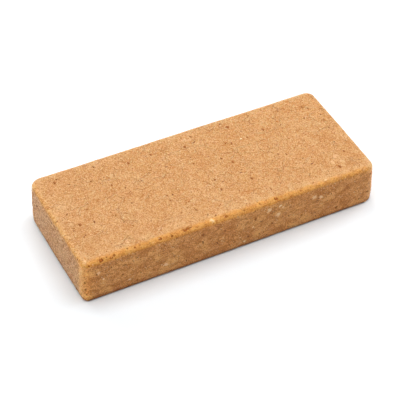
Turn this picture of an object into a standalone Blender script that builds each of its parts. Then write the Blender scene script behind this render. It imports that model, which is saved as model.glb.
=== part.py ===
# A meal replacement bar: one unwrapped piece of pressed oat and nut dough, lying on its flat base.
# The dough is rolled out as a slab and cut with a blade, so the top is smooth and the four walls are crumbly.
# The origin is the middle of the base, +X runs along the length and +Z is up. All sizes are in metres.

import bpy
import bmesh
from math import ceil, exp, hypot, pi, tan
from mathutils import Vector, noise

# Block
LENGTH = 0.0960
WIDTH = 0.0404
HEIGHT = 0.0138
END_TAPER = 0.00037        # the -X end is this much thicker than the middle, the +X end this much thinner

# Edges: radii of the top edge along the sides and along the ends, of the base edge,
# and of the four upright corners as seen from above
TOP_EDGE = 0.00140
END_EDGE = 0.00080
BASE_EDGE = 0.00095
CORNER_FRONT_LEFT = 0.00175
CORNER_BACK_LEFT = 0.00400
CORNER_BACK_RIGHT = 0.00285
CORNER_FRONT_RIGHT = 0.00320

# Walls: how far the soft dough stands out
WALL_BULGE = 0.00016       # at half height
WALL_FLARE = 0.00028       # at the base
END_BOW = 0.00015          # in the middle of each end
FLARE_REACH = 0.0100       # the flare fades out this far in from the walls

# Surface: size and depth of each kind of relief
SWELL_SIZE = 0.0170
SWELL_DEPTH = 0.00008      # slow rise and fall of the whole skin
CRAG_SIZE = 0.0042
CRAG_DEPTH = 0.00022       # torn crumb on the cut walls
CRAG_SINK = 0.30           # share of the depth by which the torn crumb lies behind the skin
PRESS_SIZE = 0.0062
PRESS_DEPTH = 0.00006      # faint marks of the roller on the top
NICK_SIZE = 0.0034
NICK_DEPTH = 0.00045       # crumbs broken out of the top edge
NICK_START = 0.22          # share of the noise below which the edge is whole

# Mesh
FACE_STEP = 0.00142        # spacing of the cuts between the edges
HALF_ARC = 1.0 - tan(pi / 8.0)  # a cut here splits an edge's round into four equal turns
BASE_SKIN = 0.00025        # relief starts this far above the base, which stays flat
TOUCH = 1e-7               # points closer than this to a plane lie in it

# Offsets that pick one fixed pattern of each noise
SWELL_SEED = Vector((3.1, 7.4, 1.9))
CRAG_SEED = Vector((11.7, 2.3, 5.2))
PRESS_SEED = Vector((6.5, 9.8, 4.4))
NICK_SEED = Vector((1.2, 5.6, 8.3))

DOUGH_COLOUR = (0.62, 0.30, 0.09, 1.0)
DOUGH_ROUGHNESS = 0.50


def clear_scene():
    for item in list(bpy.data.objects):
        bpy.data.objects.remove(item)


def make_dough():
    dough = bpy.data.materials.new("dough")
    dough.use_nodes = True
    shader = dough.node_tree.nodes["Principled BSDF"]
    shader.inputs["Base Color"].default_value = DOUGH_COLOUR
    shader.inputs["Roughness"].default_value = DOUGH_ROUGHNESS
    shader.inputs["Metallic"].default_value = 0.0
    return dough


def clamp(value, low, high):
    return max(low, min(high, value))


def fade(value, start, end):
    # 0 at start, 1 at end, smooth between them
    share = clamp((value - start) / (end - start), 0.0, 1.0)
    return share * share * (3.0 - 2.0 * share)


def cuts_along(low, high, low_edge, high_edge):
    # Places of the cuts along one axis: through both edges' rounds, and evenly between them
    inner_low = low + low_edge
    inner_high = high - high_edge
    steps = ceil((inner_high - inner_low) / FACE_STEP)
    cuts = [low + low_edge * HALF_ARC]
    cuts += [inner_low + (inner_high - inner_low) * k / steps for k in range(steps + 1)]
    cuts.append(high - high_edge * HALF_ARC)
    return cuts


def slice_block(block, axis, cuts):
    # Cut all faces of the block by planes across one axis
    normal = Vector((0.0, 0.0, 0.0))
    normal[axis] = 1.0
    for cut in cuts:
        geometry = block.verts[:] + block.edges[:] + block.faces[:]
        bmesh.ops.bisect_plane(block, geom=geometry, dist=TOUCH, plane_co=normal * cut, plane_no=normal)


def corner_radius(x, y):
    if x < 0.0:
        return CORNER_FRONT_LEFT if y < 0.0 else CORNER_BACK_LEFT
    return CORNER_FRONT_RIGHT if y < 0.0 else CORNER_BACK_RIGHT


def wall_inset(x, y):
    # Distance in from the nearest wall of the square block
    return min(LENGTH / 2.0 - abs(x), WIDTH / 2.0 - abs(y))


def round_plan(x, y):
    # Turn the square corners of the outline into arcs. Returns the new place and the way out
    radius = corner_radius(x, y)
    core = Vector((clamp(x, radius - LENGTH / 2.0, LENGTH / 2.0 - radius),
                   clamp(y, radius - WIDTH / 2.0, WIDTH / 2.0 - radius)))
    reach = Vector((x, y)) - core
    outward = reach.normalized()
    return core + outward * max(abs(reach.x), abs(reach.y)), outward


def top_radius(outward):
    # Radius of the top edge, where the wall below it faces this way
    return TOP_EDGE + (END_EDGE - TOP_EDGE) * outward.x * outward.x


def round_edge(inset, depth, radius):
    # Turn the square edge between a wall and a flat face into an arc
    if inset >= radius or depth >= radius:
        return inset, depth
    across = radius - inset
    along = radius - depth
    share = max(across, along) / hypot(across, along)
    return radius - across * share, radius - along * share


def form_point(point):
    # Move a point of the square block to the bar's true form
    place, outward = round_plan(point.x, point.y)
    inset = wall_inset(point.x, point.y)
    top_inset, depth = round_edge(inset, HEIGHT - point.z, top_radius(outward))
    base_inset, lift = round_edge(inset, point.z, BASE_EDGE)
    if point.z > HEIGHT / 2.0:
        place += outward * (inset - top_inset)
        height = HEIGHT - depth
    else:
        place += outward * (inset - base_inset)
        height = lift
    share = height / HEIGHT
    swelling = WALL_BULGE * 4.0 * share * (1.0 - share) + WALL_FLARE * (1.0 - share)
    place += outward * swelling * (1.0 - clamp(inset / FLARE_REACH, 0.0, 1.0))
    across = place.y / (WIDTH / 2.0)
    along = place.x / (LENGTH / 2.0)
    place.x += END_BOW * (1.0 - across * across) * along
    height *= 1.0 - END_TAPER / HEIGHT * along
    return Vector((place.x, place.y, height))


def edge_share(inset, depth):
    # 1 on the round of the top edge, falling to 0 a little way down the wall and across the top
    return exp(-((inset / TOP_EDGE) ** 2 + (depth / TOP_EDGE) ** 2) / 2.0)


def relief(point):
    # Height of the surface relief at a point of the square block, outward positive
    inset = wall_inset(point.x, point.y)
    depth = HEIGHT - point.z
    swell = noise.noise(point / SWELL_SIZE + SWELL_SEED) * SWELL_DEPTH
    wall = fade(depth, 0.0, TOP_EDGE) * (1.0 - fade(inset, 0.0, TOP_EDGE))
    crag = (noise.fractal(point / CRAG_SIZE + CRAG_SEED, 0.8, 2.0, 2) - CRAG_SINK) * CRAG_DEPTH * wall
    press = noise.noise(point / PRESS_SIZE + PRESS_SEED) * PRESS_DEPTH * (1.0 - wall)
    chance = noise.noise(point / NICK_SIZE + NICK_SEED)
    nick = -max(0.0, chance - NICK_START) * NICK_DEPTH * edge_share(inset, depth)
    return swell + crag + press + nick


def model_bar(collection, dough):
    block = bmesh.new()
    bmesh.ops.create_cube(block, size=1.0)
    bmesh.ops.scale(block, vec=(LENGTH, WIDTH, HEIGHT), verts=block.verts)
    bmesh.ops.translate(block, vec=(0.0, 0.0, HEIGHT / 2.0), verts=block.verts)
    slice_block(block, 0, cuts_along(-LENGTH / 2.0, LENGTH / 2.0, END_EDGE, END_EDGE))
    slice_block(block, 1, cuts_along(-WIDTH / 2.0, WIDTH / 2.0, TOP_EDGE, TOP_EDGE))
    slice_block(block, 2, cuts_along(0.0, HEIGHT, BASE_EDGE, TOP_EDGE) + [HEIGHT - END_EDGE * HALF_ARC])

    # The true form first, then the relief along its normals
    squares = [vert.co.copy() for vert in block.verts]
    for vert in block.verts:
        vert.co = form_point(vert.co)
    block.normal_update()
    for vert, square in zip(block.verts, squares):
        above_base = fade(vert.co.z, BASE_SKIN, BASE_EDGE + BASE_SKIN)
        vert.co += vert.normal * relief(square) * above_base

    # The flat of the base is one face
    flat = [face for face in block.faces if all(vert.co.z < TOUCH for vert in face.verts)]
    bmesh.ops.dissolve_faces(block, faces=flat, use_verts=False)

    # Centre the finished bar over the origin
    middle_x = (min(v.co.x for v in block.verts) + max(v.co.x for v in block.verts)) / 2.0
    middle_y = (min(v.co.y for v in block.verts) + max(v.co.y for v in block.verts)) / 2.0
    bmesh.ops.translate(block, vec=(-middle_x, -middle_y, 0.0), verts=block.verts)

    mesh = bpy.data.meshes.new("bar")
    block.to_mesh(mesh)
    block.free()
    mesh.shade_smooth()
    mesh.materials.append(dough)
    bar = bpy.data.objects.new("bar", mesh)
    collection.objects.link(bar)
    return bar


def main():
    clear_scene()
    collection = bpy.data.collections.new("meal_replacement_bar")
    bpy.context.scene.collection.children.link(collection)
    model_bar(collection, make_dough())


main()
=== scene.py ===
import bpy
from math import cos, radians, sin
from random import Random
from types import SimpleNamespace
from mathutils import Matrix, Vector


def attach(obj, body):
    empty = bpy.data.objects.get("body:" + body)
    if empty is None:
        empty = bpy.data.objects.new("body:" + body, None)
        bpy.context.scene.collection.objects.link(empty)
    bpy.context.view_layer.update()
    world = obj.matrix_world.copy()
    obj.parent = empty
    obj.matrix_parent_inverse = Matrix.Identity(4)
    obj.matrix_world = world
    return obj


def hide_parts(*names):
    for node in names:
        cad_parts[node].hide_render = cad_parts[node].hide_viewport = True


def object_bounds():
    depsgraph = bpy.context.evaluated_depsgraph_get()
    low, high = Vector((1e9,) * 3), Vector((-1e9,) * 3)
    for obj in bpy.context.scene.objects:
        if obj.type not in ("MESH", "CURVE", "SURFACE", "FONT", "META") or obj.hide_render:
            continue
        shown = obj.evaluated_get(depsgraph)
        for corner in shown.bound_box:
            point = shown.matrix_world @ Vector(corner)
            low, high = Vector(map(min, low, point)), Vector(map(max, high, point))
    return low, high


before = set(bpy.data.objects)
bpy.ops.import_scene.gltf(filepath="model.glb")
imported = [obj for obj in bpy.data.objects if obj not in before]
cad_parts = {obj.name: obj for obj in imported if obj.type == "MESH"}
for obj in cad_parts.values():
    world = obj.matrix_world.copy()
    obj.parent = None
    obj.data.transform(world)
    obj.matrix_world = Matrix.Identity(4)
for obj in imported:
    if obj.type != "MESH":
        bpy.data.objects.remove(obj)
solidLow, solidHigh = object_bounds()
millimetre = 0.001


# Node maths that reads as ordinary sums. It works in geometry trees and in materials
class Wire:
    def __init__(self, tree, socket):
        self.tree = tree
        self.socket = socket

    def maths(self, operation, *others, swap=False):
        node = self.tree.nodes.new("ShaderNodeMath")
        node.operation = operation
        values = [self, *others]
        if swap:
            values.reverse()
        for target, value in zip(node.inputs, values):
            plug(self.tree, target, value)
        return Wire(self.tree, node.outputs[0])

    def __add__(self, other):
        return self.maths("ADD", other)

    def __sub__(self, other):
        return self.maths("SUBTRACT", other)

    def __rsub__(self, other):
        return self.maths("SUBTRACT", other, swap=True)

    def __mul__(self, other):
        return self.maths("MULTIPLY", other)

    def __truediv__(self, other):
        return self.maths("DIVIDE", other)

    def __neg__(self):
        return self.maths("MULTIPLY", -1.0)

    def __abs__(self):
        return self.maths("ABSOLUTE")

    __radd__ = __add__
    __rmul__ = __mul__

    def atLeast(self, other):
        return self.maths("MAXIMUM", other)

    def atMost(self, other):
        return self.maths("MINIMUM", other)

    def between(self, low, high):
        return self.atLeast(low).atMost(high)

    def above(self, other):
        return self.maths("GREATER_THAN", other)

    def root(self):
        return self.maths("SQRT")

    def exponent(self):
        return self.maths("EXPONENT")

    def fade(self, start, end, low=0.0, high=1.0):
        # low at start, high at end, smooth between them
        node = self.tree.nodes.new("ShaderNodeMapRange")
        node.interpolation_type = "SMOOTHSTEP"
        for target, value in zip(node.inputs, (self, start, end, low, high)):
            plug(self.tree, target, value)
        return Wire(self.tree, node.outputs[0])

    def line(self, inner, outer):
        # 1 on a thin line, 0 away from it. The wire holds the distance to the line
        return self.fade(inner, outer, 1.0, 0.0)


def plug(tree, target, value):
    if isinstance(value, Wire):
        tree.links.new(value.socket, target)
    elif isinstance(value, bpy.types.NodeSocket):
        tree.links.new(value, target)
    else:
        target.default_value = value


def addNode(tree, kind, inputs=None, **settings):
    node = tree.nodes.new(kind)
    for name, value in settings.items():
        setattr(node, name, value)
    for name, value in (inputs or {}).items():
        plug(tree, node.inputs[name], value)
    return node


def bell(across, along, steepness=0.5):
    # 1 where both are 0, falling off all round as a bell does
    return ((across * across + along * along) * -steepness).exponent()


def splitVector(tree, vector):
    node = addNode(tree, "ShaderNodeSeparateXYZ", {0: vector})
    return [Wire(tree, socket) for socket in node.outputs]


def joinVector(tree, x, y, z):
    return addNode(tree, "ShaderNodeCombineXYZ", {0: x, 1: y, 2: z}).outputs[0]


def vectorMaths(tree, operation, *values):
    inputs = dict(enumerate(values))
    return addNode(tree, "ShaderNodeVectorMath", inputs, operation=operation).outputs[0]


def scaleVector(tree, vector, share):
    return addNode(tree, "ShaderNodeVectorMath", {0: vector, "Scale": share}, operation="SCALE").outputs[0]


def patternPlace(tree, vector, shares, offset):
    # the pattern's coordinates, squeezed along each axis and moved so that each pattern is its own
    if shares:
        vector = vectorMaths(tree, "MULTIPLY", vector, shares)
    if offset:
        vector = vectorMaths(tree, "ADD", vector, offset)
    return vector


def cloud(tree, vector, size, detail=2.0, roughness=0.5, distortion=0.0, shares=None, offset=None):
    # soft noise around 0, about -1 to 1
    node = addNode(tree, "ShaderNodeTexNoise", {
        "Vector": patternPlace(tree, vector, shares, offset), "Scale": 1.0 / size,
        "Detail": detail, "Roughness": roughness, "Distortion": distortion})
    return Wire(tree, node.outputs[0]) * 2.0 - 1.0


def cells(tree, vector, size, feature="F1", shares=None, offset=None):
    # distance to the nearest grain's middle in metres, and three random numbers for each grain
    node = addNode(tree, "ShaderNodeTexVoronoi", {
        "Vector": patternPlace(tree, vector, shares, offset), "Scale": 1.0 / size}, feature=feature)
    return Wire(tree, node.outputs[0]) * size, splitVector(tree, node.outputs["Color"])


def seams(tree, vector, size, shares=None, offset=None):
    # distance to the nearest seam between two grains in metres
    node = addNode(tree, "ShaderNodeTexVoronoi", {
        "Vector": patternPlace(tree, vector, shares, offset),
        "Scale": 1.0 / size}, feature="DISTANCE_TO_EDGE")
    return Wire(tree, node.outputs[0]) * size


def warp(tree, vector, size, reach, detail):
    # the same coordinates, pushed about by noise
    node = addNode(tree, "ShaderNodeTexNoise", {"Vector": vector, "Scale": 1.0 / size, "Detail": detail})
    return vectorMaths(tree, "MULTIPLY_ADD", node.outputs["Color"], (reach, reach, reach), vector)


# The camera stands where the photograph's stood. Sizes in metres, angles in degrees
photoView = dict(
    imageSize=400,
    focalPixels=1603.2,
    azimuth=-27.58,
    elevation=43.66,
    roll=0.79,
    distance=0.4817,
    slideRight=-0.00086,
    slideUp=-0.00288,
    aimHeight=0.00687,
    sensor=36.0,
    nearest=0.01,
    furthest=20.0,
)


def cameraAxes(view):
    azimuth, elevation, roll = [radians(view[name]) for name in ("azimuth", "elevation", "roll")]
    back = Vector((sin(azimuth) * cos(elevation), -cos(azimuth) * cos(elevation), sin(elevation)))
    levelRight = Vector((cos(azimuth), sin(azimuth), 0.0))
    levelUp = back.cross(levelRight)
    right = levelRight * cos(roll) + levelUp * sin(roll)
    up = levelUp * cos(roll) - levelRight * sin(roll)
    place = Vector((0.0, 0.0, view["aimHeight"])) + back * view["distance"]
    place += right * view["slideRight"] + up * view["slideUp"]
    return place, right, up, back


def makeCamera(view):
    lens = bpy.data.cameras.new("photoCamera")
    lens.sensor_width = view["sensor"]
    lens.lens = view["focalPixels"] * view["sensor"] / view["imageSize"]
    lens.clip_start = view["nearest"]
    lens.clip_end = view["furthest"]
    camera = bpy.data.objects.new("photoCamera", lens)
    place, right, up, back = cameraAxes(view)
    turn = Matrix((right, up, back)).transposed()
    camera.matrix_world = Matrix.Translation(place) @ turn.to_4x4()
    bpy.context.scene.collection.objects.link(camera)
    bpy.context.scene.camera = camera


makeCamera(photoView)
print("camera ready")


# A white sweep under soft boxes above, behind and to both sides. Nothing shines from the camera's side,
# so the rounded edges that face it show their full colour. Places in metres, powers in watts
studio = dict(
    floorSize=1.7,
    floorColour=(0.912, 0.956, 0.988, 1.0),
    floorRoughness=0.9,
    skyColour=(1.0, 1.0, 1.0, 1.0),
    skySeen=1.0,
    skyLight=0.035,
    boxSize=0.9,
    lights=dict(
        overhead=dict(place=(0.0, 0.0, 0.80), power=6.9),
        behind=dict(place=(0.0, 0.95, 0.35), power=7.7),
        right=dict(place=(0.95, 0.10, 0.35), power=8.3),
        left=dict(place=(-0.95, 0.10, 0.35), power=2.0),
    ),
)


def makeSky(settings):
    # white where the camera sees it, faint as a light
    world = bpy.data.worlds.new("studio")
    world.use_nodes = True
    tree = world.node_tree
    looking = Wire(tree, addNode(tree, "ShaderNodeLightPath").outputs["Is Camera Ray"])
    strength = settings["skyLight"] + (settings["skySeen"] - settings["skyLight"]) * looking
    plug(tree, tree.nodes["Background"].inputs["Strength"], strength)
    tree.nodes["Background"].inputs["Color"].default_value = settings["skyColour"]
    bpy.context.scene.world = world


def makeFloor(settings):
    paper = bpy.data.materials.new("whitePaper")
    paper.use_nodes = True
    shader = paper.node_tree.nodes["Principled BSDF"]
    shader.inputs["Base Color"].default_value = settings["floorColour"]
    shader.inputs["Roughness"].default_value = settings["floorRoughness"]
    bpy.ops.mesh.primitive_plane_add(size=settings["floorSize"])
    floor = bpy.context.object
    floor.name = "floor"
    floor.data.materials.append(paper)


def makeLights(settings):
    for name, light in settings["lights"].items():
        lamp = bpy.data.lights.new(name, "AREA")
        lamp.shape = "SQUARE"
        lamp.size = settings["boxSize"]
        lamp.energy = light["power"]
        holder = bpy.data.objects.new(name, lamp)
        place = Vector(light["place"])
        turn = place.to_track_quat("Z", "Y").to_matrix()
        holder.matrix_world = Matrix.Translation(place) @ turn.to_4x4()
        bpy.context.scene.collection.objects.link(holder)


def setView():
    view = bpy.context.scene.view_settings
    view.view_transform = "Standard"
    view.look = "None"
    view.exposure = 0.0
    view.gamma = 1.0


makeSky(studio)
makeFloor(studio)
makeLights(studio)
setView()
print("studio ready")


def newTree(name, values):
    # a geometry tree with one named input for each value, and its inputs as wires
    tree = bpy.data.node_groups.new(name, "GeometryNodeTree")
    tree.interface.new_socket(name="Geometry", in_out="INPUT", socket_type="NodeSocketGeometry")
    tree.interface.new_socket(name="Geometry", in_out="OUTPUT", socket_type="NodeSocketGeometry")
    kinds = {int: "NodeSocketInt", float: "NodeSocketFloat", bpy.types.Material: "NodeSocketMaterial",
             bpy.types.Object: "NodeSocketObject"}
    for key, value in values.items():
        tree.interface.new_socket(name=key, in_out="INPUT", socket_type=kinds[type(value)])
    start = tree.nodes.new("NodeGroupInput")
    wires = {key: Wire(tree, start.outputs[key]) for key in values}
    return tree, start.outputs["Geometry"], wires


def endTree(tree, geometry, material):
    realized = addNode(tree, "GeometryNodeRealizeInstances", {"Geometry": geometry})
    painted = addNode(tree, "GeometryNodeSetMaterial", {
        "Geometry": realized.outputs[0], "Material": material})
    end = tree.nodes.new("NodeGroupOutput")
    tree.links.new(painted.outputs[0], end.inputs["Geometry"])


def growMesh(name, tree, values, startMesh=None):
    # runs a tree on a new object and keeps the result as a plain mesh
    piece = bpy.data.objects.new(name, startMesh or bpy.data.meshes.new(name))
    bpy.context.scene.collection.objects.link(piece)
    modifier = piece.modifiers.new("grow", "NODES")
    modifier.node_group = tree
    for item in tree.interface.items_tree:
        if item.in_out == "INPUT" and item.name in values:
            modifier[item.identifier] = values[item.name]
    depsgraph = bpy.context.evaluated_depsgraph_get()
    grown = bpy.data.meshes.new_from_object(
        piece.evaluated_get(depsgraph), preserve_all_data_layers=True, depsgraph=depsgraph)
    piece.modifiers.clear()
    piece.data = grown
    return piece


def readPattern(tree, name):
    node = addNode(tree, "GeometryNodeInputNamedAttribute", {"Name": name}, data_type="FLOAT")
    return Wire(tree, node.outputs[0])


def storePattern(tree, geometry, name, value, domain="POINT"):
    return addNode(tree, "GeometryNodeStoreNamedAttribute", {
        "Geometry": geometry, "Name": name, "Value": value}, data_type="FLOAT", domain=domain).outputs[0]


def finishPiece(piece):
    piece.data.shade_smooth()
    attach(piece, "root")


# Tan dough: the pressed skin, the cut walls in painted warm shade, the ends, paler partly by a painted sheen,
# the rubbed edges with a painted glow, and the pits. Each ground has a dark and a pale limit, and its grain
# holds the weight of each pattern in the tone between them. Then come the tints of the zones, several of them
# painted light and shade, the patterns with sizes in metres, and how the dough takes light
doughLook = dict(
    skin=(0.612, 0.300, 0.096, 1.0),
    skinPale=(0.735, 0.430, 0.204, 1.0),
    skinDark=(0.465, 0.168, 0.036, 1.0),
    # the walls' deeper orange is painted shade, warm with light bounced off the dough; the sunny tint brings
    # the far walls back to a lit copy
    wall=(0.690, 0.283, 0.076, 1.0),
    wallPale=(0.880, 0.465, 0.158, 1.0),
    wallDark=(0.460, 0.145, 0.026, 1.0),
    # the ends' paler, greyer ground is partly a painted sheen, the white reflection an end shows at a grazing
    # angle
    end=(0.685, 0.334, 0.120, 1.0),
    endPale=(0.870, 0.530, 0.285, 1.0),
    endDark=(0.430, 0.143, 0.021, 1.0),
    speck=(0.300, 0.078, 0.006, 1.0),
    glint=(0.900, 0.620, 0.320, 1.0),
    oat=(0.960, 0.640, 0.360, 1.0),
    skinGrain=(0.45, 0.45, 0.45, 1.05),
    wallGrain=(0.38, 0.50, 0.58, 0.95),
    endGrain=(0.28, 0.26, 0.50, 1.15),
    tints=dict(
        # rubbed edges: partly wear, partly a painted glow, the deeper orange of light scattered through the
        # rounded edge
        rubbedGlow=(1.06, 0.89, 0.47, 1.0),
        # a painted highlight along the top edge of the left end, where it catches the light
        crest=(1.15, 1.13, 0.91, 1.0),
        faded=(1.00, 1.10, 1.20, 1.0),
        # a painted highlight on the upright corners, where the rounded corner catches the light
        corner=(1.42, 1.40, 1.12, 1.0),
        # darker nicks and pits: painted shade in the recesses, with a toasted brown
        toastedAndShaded=(0.46, 0.23, 0.03, 1.0),
        stained=(0.74, 0.54, 0.38, 1.0),
        shaded=(0.47, 0.40, 0.36, 1.0),
        # sunny: a painted lit copy of the walls for the far walls, which face the lamps
        sunny=(0.93, 1.06, 1.28, 1.0),
    ),
    clouds=dict(
        mottle=dict(size=0.00800, roughness=0.6),
        blotch=dict(size=0.00240, roughness=0.6, offset=(0.31, 0.12, 0.27)),
        grain=dict(size=0.00062, roughness=0.7, offset=(0.03, 0.41, 0.22)),
        fine=dict(size=0.00036, roughness=0.7),
        spots=dict(size=0.00070, detail=1.0, roughness=0.6, offset=(0.19, 0.07, 0.28)),
        patch=dict(size=0.00700, offset=(0.43, 0.21, 0.05)),
        flow=dict(size=0.00500, detail=1.0, distortion=1.6, shares=(0.7, 1.0, 1.0),
                  offset=(0.09, 0.33, 0.14)),
        coarse=dict(size=0.00080, roughness=0.75, shares=(1.0, 0.7, 1.0), offset=(0.36, 0.04, 0.18)),
    ),
    crumb=dict(size=0.00023, offset=(0.07, 0.15, 0.33)),
    lump=dict(size=0.00042, shares=(1.0, 0.8, 1.0), offset=(0.27, 0.05, 0.31)),
    fold=dict(size=0.0040, reach=0.0040, detail=1.0),
    scale=dict(size=0.0042, shares=(0.8, 1.0, 1.0)),
    dash=dict(size=0.0019, shares=(1.0, 1.3, 1.0), offset=(0.2, 0.1, 0.0)),
    squash=dict(size=0.0016, reach=0.0011, detail=2.0),
    largeTile=dict(size=0.0026, shares=(0.62, 0.8, 1.25)),
    smallTile=dict(size=0.0013, shares=(0.62, 0.8, 1.25)),
    scaleLine=(0.00010, 0.00060),
    crackLine=(0.00004, 0.00016),
    dashLine=(0.00003, 0.00014),
    seamLine=(0.0, 0.00018),
    wrinkleLine=(0.00002, 0.00015),
    specks=dict(
        dark=dict(spacing=0.00125, share=0.40, smallest=0.00011, largest=0.00024, offset=(0.17, 0.02, 0.09)),
        pale=dict(spacing=0.00105, share=0.32, smallest=0.00011, largest=0.00026, offset=(0.04, 0.26, 0.13)),
        pores=dict(spacing=0.00080, share=0.80, smallest=0.00009, largest=0.00020, offset=(0.22, 0.31, 0.06)),
    ),
    strengths=dict(pores=0.80, spots=0.42, dark=0.70, pale=0.50, flake=0.35, wallFlake=0.20),
    glow=0.20,
    glowRadius=(1.0, 0.42, 0.16),
    glowDepth=0.0012,
    roughness=0.50,
    gloss=0.20,
    bumpDepth=0.00018,
)

# The bar's mesh carries each of these as a share from 0 to 1, and the dough reads them
zoneNames = ("wall", "end", "front", "edge", "crest", "worn", "upright", "rim", "foot",
             "pit", "stain", "milky")


def mixColour(tree, share, first, second, blend="MIX"):
    node = tree.nodes.new("ShaderNodeMix")
    node.data_type = "RGBA"
    node.blend_type = blend
    plug(tree, node.inputs[0], share)
    plug(tree, node.inputs[6], first)
    plug(tree, node.inputs[7], second)
    return node.outputs[2]


def readAttribute(tree, name):
    return Wire(tree, addNode(tree, "ShaderNodeAttribute", attribute_name=name).outputs["Fac"])


def specks(tree, place, spacing, share, smallest, largest, offset):
    # ragged dots, 1 inside and 0 outside: one in each cell of a given size, in a given share of the cells
    distance, numbers = cells(tree, place, spacing, offset=offset)
    chance, size = numbers[:2]
    radius = smallest + (largest - smallest) * size
    ragged = cloud(tree, place, largest * 1.5, 1.0) * (largest * 0.5)
    return (distance + ragged).line(radius * 0.6, radius) * chance.above(1.0 - share)


def weigh(patterns, weights, extra):
    # a tone from 0 to 1: the patterns by their weights, around the middle
    parts = [pattern * weight for pattern, weight in zip(patterns, weights)]
    return ((sum(parts[1:], parts[0]) + extra) * 0.5 + 0.5).between(0.0, 1.0)


def ramp(tree, tone, low, middle, high):
    under = mixColour(tree, (tone * 2.0).between(0.0, 1.0), low, middle)
    return mixColour(tree, (tone * 2.0 - 1.0).between(0.0, 1.0), under, high)


def readZones(tree, noise):
    # grain and blotches sharpen what the mesh holds at its own coarser step
    zone = SimpleNamespace(**{name: readAttribute(tree, name) for name in zoneNames})
    ragged = (noise.grain * 0.28 + noise.blotch * 0.42) * zone.edge.fade(0.15, 0.55)
    zone.band = (zone.edge + ragged).fade(0.15, 0.65)
    zone.side = (zone.upright * 1.5 + noise.blotch * zone.upright * 0.3).between(0.0, 1.0)
    zone.pit = (zone.pit + noise.grain * 0.50).fade(0.22, 0.55)
    zone.stain = (zone.stain + noise.grain * 0.35).fade(0.10, 0.60)
    zone.flake = (zone.milky + noise.grain * 0.50 + noise.crumb * 0.25).fade(0.45, 0.85)
    return zone


def foldSkin(tree, place, look, noise):
    # faint scales, where the roller folded the dough, with thin cracks, arcs and dashes
    folded = warp(tree, place, **look["fold"])
    rift = seams(tree, folded, **look["scale"])
    dash = seams(tree, folded, **look["dash"]).line(*look["dashLine"])
    arc = abs(noise.flow - 0.05).line(0.0, 0.07)
    return SimpleNamespace(
        scale=rift.line(*look["scaleLine"]) * noise.patch.fade(0.0, 0.3),
        crack=rift.line(*look["crackLine"]) * (noise.patch + noise.grain * 0.5).fade(0.0, 0.25),
        arc=arc * (noise.blotch + noise.grain * 0.4).fade(0.05, 0.4),
        dash=dash * (noise.grain + noise.blotch * 0.5).fade(0.25, 0.55))


def tileWalls(tree, place, look, noise):
    # a mosaic of squashed crumbs with thin dark seams
    squashed = warp(tree, place, **look["squash"])
    seam = seams(tree, squashed, **look["largeTile"]).line(*look["seamLine"])
    wrinkle = seams(tree, squashed, **look["smallTile"]).line(*look["wrinkleLine"])
    return SimpleNamespace(
        large=cells(tree, squashed, **look["largeTile"])[1][1] - 0.5,
        small=cells(tree, squashed, **look["smallTile"])[1][1] - 0.5,
        seam=seam * noise.blotch.fade(-0.3, 0.3),
        wrinkle=wrinkle * (noise.grain + noise.blotch * 0.5).fade(0.0, 0.4))


def paintSkin(tree, look, zone, noise, fold):
    # fine dark and pale grains in an even ground, paler at the rim: pale patches where the knife pressed it,
    # plus a painted sheen where the top turns towards the front and left edges
    lift = zone.rim * (noise.blotch * 1.3 + noise.grain * 0.5 + 0.60)
    # scale lines and arcs painted paler, a painted highlight where their ridges catch the light; cracks and
    # dashes painted darker, painted shade in them
    folds = noise.flow * 0.30 + fold.scale * 0.45 + fold.arc * 0.55 - fold.crack * 0.9 - fold.dash * 0.9
    tone = weigh((noise.mottle, noise.blotch, noise.grain, noise.crumb), look["skinGrain"], lift + folds)
    return ramp(tree, tone, look["skinDark"], look["skin"], look["skinPale"])


def paintWall(tree, look, zone, noise, tile):
    shades = tile.large * 0.8 + tile.small * 0.7 - tile.seam * 0.8 - tile.wrinkle * 0.7 + zone.milky * 0.8
    tone = weigh((noise.mottle, noise.blotch, noise.grain, noise.crumb), look["wallGrain"], shades)
    return ramp(tree, tone, look["wallDark"], look["wall"], look["wallPale"])


def paintEnd(tree, look, zone, noise, tile):
    # coarser torn crumb on a ground that is paler partly by a painted sheen, which calms down towards the
    # upright corners
    shades = tile.small * 0.15 + noise.grain * 0.40 + noise.crumb * 1.05 - tile.wrinkle * 1.1
    tone = weigh((noise.mottle, noise.blotch, noise.coarse, noise.lump), look["endGrain"], shades)
    tone = tone + (0.5 - tone) * zone.side * 0.35
    return ramp(tree, tone, look["endDark"], look["end"], look["endPale"])


def addBits(tree, look, zone, noise, speck, colour):
    # the smallest bits, fewer on the rubbed edges, which carry a painted glow, and on the upright corners,
    # which carry a painted highlight
    spots = (noise.spots + noise.mottle * 0.25 + noise.blotch * 0.15).fade(0.34, 0.62)
    strength = SimpleNamespace(**look["strengths"])
    rubbedGlow = zone.edge.atLeast(zone.side)
    for share, bit in ((speck.pores * zone.end * strength.pores * (1.0 - zone.side * 0.6), "speck"),
                       (spots * strength.spots * (1.0 - rubbedGlow * 0.8), "speck"),
                       (speck.dark * strength.dark * (1.0 - rubbedGlow * 0.8), "speck"),
                       (speck.pale * strength.pale, "glint"),
                       (zone.flake * (strength.flake + strength.wallFlake * zone.wall), "oat")):
        colour = mixColour(tree, share, colour, look[bit])
    return colour


def addTints(tree, tints, zone, colour):
    # rubbed edges with a painted glow, upright corners and the left end's top edge with painted highlights,
    # nicks and pits with painted shade and a toasted brown, stains round the bran, the painted shade of the
    # foot, and the far walls brought to a painted lit copy
    shares = dict(
        rubbedGlow=zone.band,
        crest=zone.crest,
        faded=zone.worn,
        corner=zone.side,
        toastedAndShaded=zone.pit,
        stained=zone.stain,
        shaded=zone.foot * zone.foot,
        sunny=zone.wall * (1.0 - zone.end) * (1.0 - zone.front),
    )
    for name, share in shares.items():
        colour = mixColour(tree, share, colour, tints[name], "MULTIPLY")
    return colour


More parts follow.
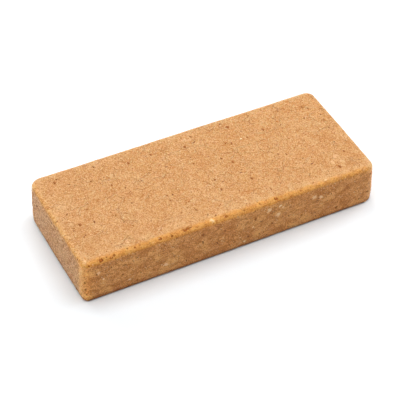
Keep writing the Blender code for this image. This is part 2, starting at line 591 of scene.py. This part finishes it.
def doughHeight(zone, noise, fold, tile, speck):
    height = noise.grain * 0.7 + noise.fine * 0.5 + speck.pale * 0.5 - speck.dark * 0.7
    height = height - tile.seam * zone.wall * 0.6 - zone.pit * 0.8
    folds = fold.scale * 0.6 + fold.arc * 0.8 - fold.crack * 1.2 - fold.dash * 0.8
    height = height + folds * (1.0 - zone.wall)
    return height * (1.0 + zone.end * 0.3) + noise.coarse * zone.end * 1.2


def makeDough(look):
    dough = bpy.data.materials.new("tanDough")
    dough.use_nodes = True
    tree = dough.node_tree
    shader = tree.nodes["Principled BSDF"]
    place = addNode(tree, "ShaderNodeTexCoord").outputs["Object"]
    clouds = {name: cloud(tree, place, **pattern) for name, pattern in look["clouds"].items()}
    noise = SimpleNamespace(**clouds)
    noise.crumb = cells(tree, place, **look["crumb"])[1][0] * 2.0 - 1.0
    noise.lump = cells(tree, place, **look["lump"])[1][0] * 2.0 - 1.0
    dots = {name: specks(tree, place, **kind) for name, kind in look["specks"].items()}
    speck = SimpleNamespace(**dots)
    zone = readZones(tree, noise)
    fold = foldSkin(tree, place, look, noise)
    tile = tileWalls(tree, place, look, noise)

    wall = paintWall(tree, look, zone, noise, tile)
    cut = mixColour(tree, zone.end, wall, paintEnd(tree, look, zone, noise, tile))
    colour = mixColour(tree, zone.wall, paintSkin(tree, look, zone, noise, fold), cut)
    colour = addBits(tree, look, zone, noise, speck, colour)
    colour = addTints(tree, look["tints"], zone, colour)
    plug(tree, shader.inputs["Base Color"], colour)

    rough = (noise.grain * 0.10 + noise.crumb * 0.08 + look["roughness"]).between(0.0, 1.0)
    plug(tree, shader.inputs["Roughness"], rough)
    shader.inputs["Specular IOR Level"].default_value = look["gloss"]
    shader.inputs["Subsurface Weight"].default_value = look["glow"]
    shader.inputs["Subsurface Radius"].default_value = look["glowRadius"]
    shader.inputs["Subsurface Scale"].default_value = look["glowDepth"]
    height = doughHeight(zone, noise, fold, tile, speck)
    bump = addNode(tree, "ShaderNodeBump", {"Height": height, "Distance": look["bumpDepth"]})
    plug(tree, shader.inputs["Normal"], bump.outputs[0])
    return dough


dough = makeDough(doughLook)
print("dough mixed")


# Marks that the photograph shows, in millimetres from the middle of the base: along, across or up, and size.
# The top and its edges are seen from above, the front wall and its left corner from the front
marks = dict(
    topBran=((-41.3, 15.5, 0.38), (-18.1, 13.9, 0.38), (-10.4, 14.4, 0.31), (-26.5, 7.3, 0.29),
             (0.4, 13.0, 0.38), (16.4, 15.5, 0.40), (25.6, 9.7, 0.38), (19.6, 8.6, 0.26),
             (41.6, 13.8, 0.31), (43.0, 12.4, 0.28), (44.3, 1.7, 0.31), (10.3, 0.6, 0.34),
             (24.3, -2.1, 0.29), (1.8, -3.8, 0.31), (-41.8, -3.9, 0.43), (12.0, -8.2, 0.37),
             (42.9, -9.8, 0.35), (38.2, -15.2, 0.43), (-13.9, -6.2, 0.28), (-34.9, -17.1, 0.24)),
    frontBran=((6.9, 9.6, 0.37), (-10.4, 10.7, 0.43), (34.7, 2.6, 0.46), (-3.2, 9.2, 0.29),
               (-44.0, 9.8, 0.29)),
    frontOat=((11.6, 11.3, 0.55), (14.5, 8.3, 0.69), (16.1, 10.5, 0.36), (26.7, 10.1, 0.60),
              (29.0, 9.3, 0.57), (6.1, 6.8, 0.34), (-22.3, 4.2, 0.57), (-43.5, 10.2, 0.40)),
    edgeOat=((-6.8, -18.9, 0.74), (31.2, -18.4, 0.40)),
    edgeNicks=((-42.2, -19.3, 0.46), (-23.5, -19.1, 0.40), (-15.6, -18.9, 0.50), (-14.4, -18.7, 0.42),
               (-2.2, -19.2, 0.38), (14.2, -19.1, 0.46), (-38.0, -19.2, 0.30), (22.5, -19.2, 0.28),
               (-20.0, -19.4, 0.30), (3.6, -19.3, 0.30), (8.9, -18.9, 0.26), (18.6, -19.0, 0.26),
               (-31.5, -19.0, 0.28)),
    topPale=((33.6, -17.2, 0.40), (39.5, -10.5, 0.75), (40.1, -13.5, 0.70), (37.3, -12.5, 0.55),
             (-2.4, -11.6, 0.36), (1.6, 15.9, 0.60), (3.2, 15.2, 0.50), (-10.4, -13.5, 0.30),
             (-46.3, -14.2, 0.50), (-46.4, -17.6, 0.60), (-45.6, -16.0, 0.45), (2.9, -7.0, 0.55),
             (5.6, -14.2, 0.50), (12.2, -14.6, 0.45), (-22.0, -15.6, 0.50), (-32.4, -15.9, 0.60),
             (-27.5, -16.6, 0.45)),
    cornerNicks=((-47.6, 7.6, 0.26), (-47.4, 5.0, 0.30), (-47.2, 3.0, 0.24), (-47.5, 9.8, 0.18)),
)
markPlaces = dict(
    topHeight=13.8,
    frontWall=-20.2,
    cornerWall=-19.8,
    spreadAlong=0.55,
    spreadAcross=0.42,
    smallestPart=0.35,
    largestPart=0.65,
    seed=7,
)


def placeMarks(name, *groups, parts=1):
    # marks as loose points that carry their sizes. A mark of several parts is a ragged cluster
    draws = Random(markPlaces["seed"])
    points = []
    sizes = []
    for group in groups:
        for first, second, size in marks[group] * parts:
            if parts > 1:
                first += draws.gauss(0.0, markPlaces["spreadAlong"]) * size
                second += draws.gauss(0.0, markPlaces["spreadAcross"]) * size
                size *= draws.uniform(markPlaces["smallestPart"], markPlaces["largestPart"])
            spot = (first, second, markPlaces["topHeight"])
            if group.startswith("front"):
                spot = (first, markPlaces["frontWall"], second)
            elif group.startswith("corner"):
                spot = (first, markPlaces["cornerWall"], second)
            points.append([value * millimetre for value in spot])
            sizes.append(size * millimetre)
    mesh = bpy.data.meshes.new(name)
    mesh.from_pydata(points, [], [])
    mesh.attributes.new("size", "FLOAT", "POINT").data.foreach_set("value", sizes)
    return bpy.data.objects.new(name, mesh)


# The bar: a rounded block with crumbly cut walls. Sizes in metres
proud = Vector((0.00057, 0.00046, 0.00042))  # how far flare and crumb stand out of the plain block
barForm = dict(
    length=solidHigh.x - solidLow.x - 2.0 * proud.x,
    width=solidHigh.y - solidLow.y - 2.0 * proud.y,
    height=solidHigh.z - solidLow.z - proud.z,
    endTaper=0.00037,
    step=0.00038,
    topEdge=0.00140,
    endEdge=0.00080,
    baseEdge=0.00095,
    frontLeft=0.00175,
    backLeft=0.00400,
    backRight=0.00285,
    frontRight=0.00320,
    wallBulge=0.00016,
    wallFlare=0.00028,
    flareReach=0.0100,
    uprightEdge=0.00150,
    endBow=0.00015,
    flatBase=0.00025,
    swellDepth=0.00008,
    cragDepth=0.00020,
    crumbDepth=0.00009,
    pressDepth=0.00009,
    grainDepth=0.00003,
    nickDepth=0.00035,
    pitDepth=0.00020,
    nicks=placeMarks("nicks", "edgeNicks", "cornerNicks"),
    stains=placeMarks("stains", "topBran", "frontBran"),
    oats=placeMarks("oats", "frontOat", "edgeOat", "topPale"),
    material=dough,
)
reliefPatterns = dict(
    swell=dict(size=0.0170, detail=0.0),
    crag=dict(size=0.0042, roughness=0.6, shares=(1.0, 1.0, 1.3), offset=(0.11, 0.02, 0.05)),
    crumb=dict(size=0.0017, feature="SMOOTH_F1", shares=(0.8, 0.8, 1.2), offset=(0.21, 0.07, 0.01)),
    press=dict(size=0.0060, distortion=0.6, shares=(0.7, 1.0, 1.0), offset=(0.06, 0.09, 0.04)),
    grain=dict(size=0.0011, detail=1.0),
    nick=dict(size=0.0017, detail=1.0, offset=(0.31, 0.17, 0.03)),
    ragged=dict(size=0.0010),
)

# Where each zone starts and where it is full, in metres. The front's places are shares of the width,
# and those of pit, stain and milky are multiples of a mark's size
zoneReach = dict(
    front=(-0.30, -0.45),
    end=(-0.0030, 0.0022),
    rim=(0.0070, 0.0012),
    foot=(0.0022, 0.0002),
    rubbedGlowLeft=(-0.0480, -0.0430),
    rubbedGlowRight=(0.0, 0.0400),
    nick=(0.0015, 0.0045),
    pit=(0.6, 2.0),
    stain=(0.6, 2.1),
    milky=(0.6, 2.0),
)


def startBlock(tree, form):
    # a plain block of evenly spaced points, each of which keeps its first place
    counts = {f"Vertices {axis}": form[size] / form["step"] for axis, size in
              (("X", "length"), ("Y", "width"), ("Z", "height"))}
    size = joinVector(tree, form["length"], form["width"], form["height"])
    block = addNode(tree, "GeometryNodeMeshCube", {"Size": size, **counts})
    lifted = addNode(tree, "GeometryNodeSetPosition", {
        "Geometry": block.outputs["Mesh"], "Offset": joinVector(tree, 0.0, 0.0, form["height"] * 0.5)})
    captured = addNode(tree, "GeometryNodeCaptureAttribute", {"Geometry": lifted.outputs[0]})
    captured.capture_items.new("VECTOR", "square")
    plug(tree, captured.inputs["square"], addNode(tree, "GeometryNodeInputPosition").outputs[0])
    return captured.outputs["Geometry"], captured.outputs["square"]


def roundPlan(form, x, y):
    # turns the square corners of the outline into arcs
    right = x.above(0.0)
    back = y.above(0.0)
    frontRadius = form["frontLeft"] + (form["frontRight"] - form["frontLeft"]) * right
    backRadius = form["backLeft"] + (form["backRight"] - form["backLeft"]) * right
    radius = frontRadius + (backRadius - frontRadius) * back
    coreX = x.between(radius - form["length"] * 0.5, form["length"] * 0.5 - radius)
    coreY = y.between(radius - form["width"] * 0.5, form["width"] * 0.5 - radius)
    reachX = x - coreX
    reachY = y - coreY
    ring = abs(reachX).atLeast(abs(reachY))
    reach = (reachX * reachX + reachY * reachY).root().atLeast(1e-9)
    outX = reachX / reach
    outY = reachY / reach
    return coreX + outX * ring, coreY + outY * ring, outX, outY


def roundEdge(inset, depth, radius):
    # turns the square edge between a wall and a flat face into an arc
    across = (radius - inset).atLeast(0.0)
    along = (radius - depth).atLeast(0.0)
    inside = across.above(0.0) * along.above(0.0)
    share = across.atLeast(along) / (across * across + along * along).root().atLeast(1e-9)
    share = 1.0 + (share - 1.0) * inside
    keepInset = inset * (1.0 - inside) + (radius - across * share) * inside
    keepDepth = depth * (1.0 - inside) + (radius - along * share) * inside
    return keepInset, keepDepth


def measureBlock(tree, form, square):
    # where each point of the plain block lies, and which way the wall beside it faces
    at = SimpleNamespace()
    at.x, at.y, at.z = splitVector(tree, square)
    at.inset = (form["length"] * 0.5 - abs(at.x)).atMost(form["width"] * 0.5 - abs(at.y))
    at.depth = form["height"] - at.z
    at.planX, at.planY, at.outX, at.outY = roundPlan(form, at.x, at.y)
    at.topEdge = form["topEdge"] + (form["endEdge"] - form["topEdge"]) * at.outX * at.outX
    at.edgeX = at.inset / at.topEdge
    at.edgeZ = at.depth / at.topEdge
    at.upper = at.z.above(form["height"] * 0.5)
    at.wall = at.depth.fade(0.0, at.topEdge) * (1.0 - at.inset.fade(0.0, at.topEdge))
    at.front = at.y.fade(*[form["width"] * share for share in zoneReach["front"]])
    return at


def roundBlock(tree, form, at):
    # the true form: round edges, walls that bulge and flare, bowed ends and one thicker end
    topInset, topDepth = roundEdge(at.inset, at.depth, at.topEdge)
    baseInset, lift = roundEdge(at.inset, at.z, form["baseEdge"])
    slip = (at.inset - topInset) * at.upper + (at.inset - baseInset) * (1.0 - at.upper)
    level = (form["height"] - topDepth) * at.upper + lift * (1.0 - at.upper)
    share = level / form["height"]
    swelling = form["wallBulge"] * 4.0 * share * (1.0 - share) + form["wallFlare"] * (1.0 - share)
    slip = slip + swelling * (1.0 - (at.inset / form["flareReach"]).between(0.0, 1.0))
    movedX = at.planX + at.outX * slip
    movedY = at.planY + at.outY * slip
    along = movedX / (form["length"] * 0.5)
    across = movedY / (form["width"] * 0.5)
    movedX = movedX + form["endBow"] * (1.0 - across * across) * along
    level = level * (1.0 - form["endTaper"] / form["height"] * along)
    return joinVector(tree, movedX, movedY, level)


def markZones(form, at):
    # the rubbed band, partly wear and partly a painted glow of light scattered through the edge, is strongest
    # along the front edge, and weaker towards its right end
    ahead = at.front * (1.0 - 0.7 * abs(at.outX)) * at.x.fade(*zoneReach["rubbedGlowLeft"], 0.7, 1.0)
    rubbedGlow = (0.75 - 0.32 * at.x.fade(*zoneReach["rubbedGlowRight"])) * ahead
    rubbedGlow = (0.20 - 0.05 * at.outX + rubbedGlow).atMost(1.0)
    endInset = form["length"] * 0.5 - abs(at.x)
    sideInset = form["width"] * 0.5 - abs(at.y)
    corner = bell(endInset / form["uprightEdge"] * 1.15, sideInset / form["uprightEdge"] - 0.6) * at.wall
    # the rim's paleness, pressed patches and a painted sheen, strongest along the front and the left end
    pressedSheen = 0.10 + 0.25 * (-at.outX).atLeast(0.0) + 0.65 * at.front
    return dict(
        wall=at.wall,
        end=(sideInset - endInset).fade(*zoneReach["end"]) * at.wall,
        front=at.front,
        edge=bell(at.edgeX * 0.86, at.edgeZ * 2.4) * rubbedGlow,
        # a painted highlight along the top edge of the left end
        crest=bell(at.edgeX * 1.05, at.edgeZ * 0.95) * (-at.outX - abs(at.outY)).fade(0.0, 0.8),
        worn=bell(at.edgeX, at.edgeZ, 0.9) * at.outX.atLeast(at.outY).fade(0.0, 0.7),
        # the upright corners get a painted highlight, full at the front left corner and weaker on the others
        upright=corner * (1.0 - 0.7 * at.x.above(0.0).atLeast(at.y.above(0.0))),
        rim=at.inset.fade(*zoneReach["rim"]) * (1.0 - at.wall) * at.upper * pressedSheen,
        foot=at.z.fade(*zoneReach["foot"]) * at.wall,
    )


def nearMark(tree, holder, ragged):
    # distance to the nearest mark as a multiple of its size, with a ragged outline
    spots = addNode(tree, "GeometryNodeObjectInfo", {"Object": holder}).outputs["Geometry"]
    place = addNode(tree, "GeometryNodeInputPosition").outputs[0]
    nearest = addNode(tree, "GeometryNodeSampleNearest", {"Geometry": spots}, domain="POINT").outputs[0]
    spot = addNode(tree, "GeometryNodeSampleIndex", {
        "Geometry": spots, "Value": place, "Index": nearest}, data_type="FLOAT_VECTOR").outputs[0]
    size = addNode(tree, "GeometryNodeSampleIndex", {
        "Geometry": spots, "Value": readPattern(tree, "size"), "Index": nearest}).outputs[0]
    gap = addNode(tree, "ShaderNodeVectorMath", {0: place, 1: spot}, operation="DISTANCE")
    return Wire(tree, gap.outputs["Value"]) / Wire(tree, size) + ragged


def barTree(values, patterns):
    tree, start, form = newTree("barForm", values)
    block, square = startBlock(tree, form)
    at = measureBlock(tree, form, square)
    formed = addNode(tree, "GeometryNodeSetPosition", {
        "Geometry": block, "Position": roundBlock(tree, form, at)}).outputs[0]
    zones = markZones(form, at)

    # pits at the marks, and nicks where the noise is high along the top edge
    noise = {name: cloud(tree, square, **pattern) for name, pattern in patterns.items() if name != "crumb"}
    ragged = noise["ragged"] * 0.45
    pit = nearMark(tree, form["nicks"], ragged).line(*zoneReach["pit"])
    zones["stain"] = nearMark(tree, form["stains"], ragged).line(*zoneReach["stain"]) * 0.85
    zones["milky"] = nearMark(tree, form["oats"], ragged).line(*zoneReach["milky"])
    nick = (noise["nick"] - 0.25).atLeast(0.0) * bell(at.edgeX, at.edgeZ)
    nick = nick * (form["length"] * 0.5 - abs(at.x)).fade(*zoneReach["nick"], 0.15, 1.0)
    # the pit share also darkens the colour there: painted shade in the nicks and pits
    zones["pit"] = (pit * 0.75 + nick * 2.1).between(0.0, 1.0)

    # relief along the normals
    distance = cells(tree, square, **patterns["crumb"])[0]
    crumb = 0.5 - distance / patterns["crumb"]["size"]
    relief = noise["swell"] * form["swellDepth"]
    relief = relief + (noise["crag"] - 0.3) * form["cragDepth"] * at.wall
    relief = relief + crumb * form["crumbDepth"] * at.wall
    relief = relief + noise["press"] * form["pressDepth"] * (1.0 - at.wall)
    relief = relief + noise["grain"] * form["grainDepth"]
    relief = relief - nick * form["nickDepth"] - pit * form["pitDepth"]
    relief = relief * at.z.fade(form["flatBase"], form["baseEdge"])
    normal = addNode(tree, "GeometryNodeInputNormal").outputs[0]
    geometry = addNode(tree, "GeometryNodeSetPosition", {
        "Geometry": formed, "Offset": scaleVector(tree, normal, relief)}).outputs[0]
    for name in zoneNames:
        geometry = storePattern(tree, geometry, name, zones[name])
    endTree(tree, geometry, form["material"])
    return tree


def keepInside(piece, low, high):
    # eases a piece into the solid's box, where its relief stands out of it
    for axis in range(3):
        places = [vertex.co[axis] for vertex in piece.data.vertices]
        middle = (low[axis] + high[axis]) / 2.0
        furthest = max(max(places) - middle, middle - min(places))
        share = min(1.0, (high[axis] - middle) / furthest)
        for vertex in piece.data.vertices:
            vertex.co[axis] = middle + (vertex.co[axis] - middle) * share


bar = growMesh("doughBar", barTree(barForm, reliefPatterns), barForm)
keepInside(bar, solidLow, solidHigh)
finishPiece(bar)
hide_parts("bar")
print("bar formed", len(bar.data.polygons), "faces")


# Bits that sit half sunk in the dough: bran, oats and the pale and dark grains of the crumb. Densities on
# the skin, the walls and the rubbed band are in bits per square metre, sizes in metres, and the rest are
# shares of a bit's size. A bit is turned by up to its spin, in radians, and rounds is its subdivision.
# Some kinds also lie at marks, each as one bit or a cluster of parts. Colours run from darker to paler
bitKinds = dict(
    branFlakes=dict(
        form=dict(skin=14000.0, wall=28000.0, band=0.0, smallest=0.00022, largest=0.00040, longer=2.0,
                  wide=0.68, thick=0.36, sink=0.35, uneven=0.14, spin=3.14, rounds=2, seed=11),
        marks=("topBran", "frontBran"),
        parts=1,
        colours=((0.200, 0.046, 0.004, 1.0), (0.330, 0.100, 0.012, 1.0)),
    ),
    toastedCrumbs=dict(
        form=dict(skin=6000.0, wall=12000.0, band=80000.0, smallest=0.00020, largest=0.00040, longer=1.5,
                  wide=0.90, thick=0.45, sink=0.35, uneven=0.20, spin=3.14, rounds=1, seed=17),
        marks=("edgeNicks", "cornerNicks"),
        parts=1,
        colours=((0.300, 0.075, 0.003, 1.0), (0.520, 0.170, 0.016, 1.0)),
    ),
    oatBits=dict(
        form=dict(skin=250.0, wall=9000.0, band=0.0, smallest=0.00034, largest=0.00062, longer=1.45,
                  wide=0.80, thick=0.36, sink=0.45, uneven=0.46, spin=0.6, rounds=3, seed=24),
        marks=("frontOat", "edgeOat"),
        parts=6,
        colours=((0.930, 0.600, 0.310, 1.0), (1.000, 0.770, 0.480, 1.0)),
    ),
    paleGrains=dict(
        form=dict(skin=560000.0, wall=300000.0, band=60000.0, smallest=0.00013, largest=0.00026, longer=1.3,
                  wide=0.90, thick=0.55, sink=0.45, uneven=0.20, spin=3.14, rounds=1, seed=37),
        marks=(),
        parts=1,
        colours=((0.660, 0.360, 0.140, 1.0), (0.900, 0.620, 0.330, 1.0)),
    ),
    darkGrains=dict(
        form=dict(skin=280000.0, wall=260000.0, band=15000.0, smallest=0.00012, largest=0.00024, longer=1.4,
                  wide=0.85, thick=0.50, sink=0.50, uneven=0.20, spin=3.14, rounds=1, seed=53),
        marks=(),
        parts=1,
        colours=((0.270, 0.066, 0.004, 1.0), (0.460, 0.150, 0.020, 1.0)),
    ),
)
bitSkin = dict(mottleSize=0.00035, roughness=0.5, gloss=0.2, glow=0.15, glowDepth=0.0006, bumpDepth=0.00004)
bitScatter = dict(clusterSize=0.0080, bareFoot=0.0007, outlineNoise=0.00035)


def makeBitSkin(name, darker, paler):
    # each bit has its own tone, and a mottled, slightly rough skin
    skin = bpy.data.materials.new(name)
    skin.use_nodes = True
    tree = skin.node_tree
    shader = tree.nodes["Principled BSDF"]
    place = addNode(tree, "ShaderNodeTexCoord").outputs["Object"]
    mottle = cloud(tree, place, bitSkin["mottleSize"], 2.0, 0.6)
    tone = (readAttribute(tree, "tone") + mottle * 0.45).between(0.0, 1.0)
    plug(tree, shader.inputs["Base Color"], mixColour(tree, tone, darker, paler))
    plug(tree, shader.inputs["Roughness"], (mottle * 0.15 + bitSkin["roughness"]).between(0.0, 1.0))
    shader.inputs["Specular IOR Level"].default_value = bitSkin["gloss"]
    shader.inputs["Subsurface Weight"].default_value = bitSkin["glow"]
    shader.inputs["Subsurface Scale"].default_value = bitSkin["glowDepth"]
    bump = addNode(tree, "ShaderNodeBump", {"Height": mottle, "Distance": bitSkin["bumpDepth"]})
    plug(tree, shader.inputs["Normal"], bump.outputs[0])
    return skin


def randomNumber(tree, low, high, seed):
    node = addNode(tree, "FunctionNodeRandomValue", {2: low, 3: high, "Seed": seed}, data_type="FLOAT")
    return Wire(tree, node.outputs[1])


def scatterBits(tree, form, surface, position):
    # points all over the surface, in loose clusters, and the marks' own points
    cluster = cloud(tree, position, bitScatter["clusterSize"], 1.0).fade(-0.6, 0.6, 0.45, 1.55)
    edge = readPattern(tree, "edge").fade(0.2, 0.5)
    density = form["skin"] + (form["wall"] - form["skin"]) * readPattern(tree, "wall")
    density = (density + (form["band"] - density) * edge) * cluster
    density = density * splitVector(tree, position)[2].above(bitScatter["bareFoot"])
    density = density * readPattern(tree, "upright").fade(0.1, 0.6, 1.0, 0.12)
    scattered = addNode(tree, "GeometryNodeDistributePointsOnFaces", {
        "Mesh": surface, "Density": density, "Seed": form["seed"]}).outputs["Points"]
    size = randomNumber(tree, 0.0, 1.0, form["seed"])
    size = form["smallest"] + (form["largest"] - form["smallest"]) * size * size
    seen = addNode(tree, "GeometryNodeObjectInfo", {"Object": form["marks"]}).outputs["Geometry"]
    seen = addNode(tree, "GeometryNodeMeshToPoints", {"Mesh": seen}).outputs[0]
    together = addNode(tree, "GeometryNodeJoinGeometry")
    tree.links.new(storePattern(tree, scattered, "size", size), together.inputs[0])
    tree.links.new(seen, together.inputs[0])
    return together.outputs[0]


def layBits(tree, form, points, surface, position):
    # each bit lies flat on the surface under it, turned at random and partly sunk
    seed = form["seed"]
    size = readPattern(tree, "size")
    touch = addNode(tree, "GeometryNodeProximity", {"Geometry": surface, "Sample Position": position})
    normal = addNode(tree, "GeometryNodeSampleNearestSurface", {
        "Mesh": surface, "Value": addNode(tree, "GeometryNodeInputNormal").outputs[0],
        "Sample Position": position}, data_type="FLOAT_VECTOR").outputs[0]
    sinkDepth = scaleVector(tree, normal, size * form["thick"] * form["sink"] * -1.0)
    sunk = vectorMaths(tree, "ADD", touch.outputs["Position"], sinkDepth)
    placed = addNode(tree, "GeometryNodeSetPosition", {"Geometry": points, "Position": sunk})
    flat = addNode(tree, "FunctionNodeAlignRotationToVector", {"Vector": normal}, axis="Z")
    spin = addNode(tree, "FunctionNodeAxisAngleToRotation", {
        "Axis": (0.0, 0.0, 1.0), "Angle": randomNumber(tree, -form["spin"], form["spin"], seed + 1.0)})
    turned = addNode(tree, "FunctionNodeRotateRotation", {
        0: flat.outputs[0], 1: spin.outputs[0]}, rotation_space="LOCAL")
    longer = size * randomNumber(tree, 1.0, form["longer"], seed + 2.0)
    bit = addNode(tree, "GeometryNodeMeshIcoSphere", {"Radius": 1.0, "Subdivisions": form["rounds"]})
    laid = addNode(tree, "GeometryNodeInstanceOnPoints", {
        "Points": placed.outputs[0], "Instance": bit.outputs[0], "Rotation": turned.outputs[0],
        "Scale": joinVector(tree, longer, size * form["wide"], size * form["thick"])})
    tone = randomNumber(tree, 0.0, 1.0, seed + 3.0)
    toned = storePattern(tree, laid.outputs[0], "tone", tone, "INSTANCE")
    return addNode(tree, "GeometryNodeRealizeInstances", {"Geometry": toned}).outputs[0]


def bitsTree(name, values):
    tree, surface, form = newTree(name, values)
    position = addNode(tree, "GeometryNodeInputPosition").outputs[0]
    points = scatterBits(tree, form, surface, position)
    loose = layBits(tree, form, points, surface, position)

    # uneven outlines
    noise = addNode(tree, "ShaderNodeTexNoise", {
        "Vector": position, "Scale": 1.0 / bitScatter["outlineNoise"], "Detail": 1.0}).outputs["Color"]
    centred = vectorMaths(tree, "SUBTRACT", noise, (0.5, 0.5, 0.5))
    shift = scaleVector(tree, centred, readPattern(tree, "size") * form["uneven"] * 2.0)
    uneven = addNode(tree, "GeometryNodeSetPosition", {"Geometry": loose, "Offset": shift})
    endTree(tree, uneven.outputs[0], form["material"])
    return tree


def trimToBox(piece, low, high):
    for vertex in piece.data.vertices:
        for axis in range(3):
            vertex.co[axis] = min(max(vertex.co[axis], low[axis]), high[axis])


def growBits(kind, settings, surface):
    values = dict(
        settings["form"],
        material=makeBitSkin(kind + "Skin", *settings["colours"]),
        marks=placeMarks(kind + "Marks", *settings["marks"], parts=settings["parts"]))
    bits = growMesh(kind, bitsTree(kind, values), values, surface)
    trimToBox(bits, solidLow, solidHigh)
    finishPiece(bits)
    print(kind, len(bits.data.polygons), "faces")


for kind, settings in bitKinds.items():
    growBits(kind, settings, bar.data.copy())
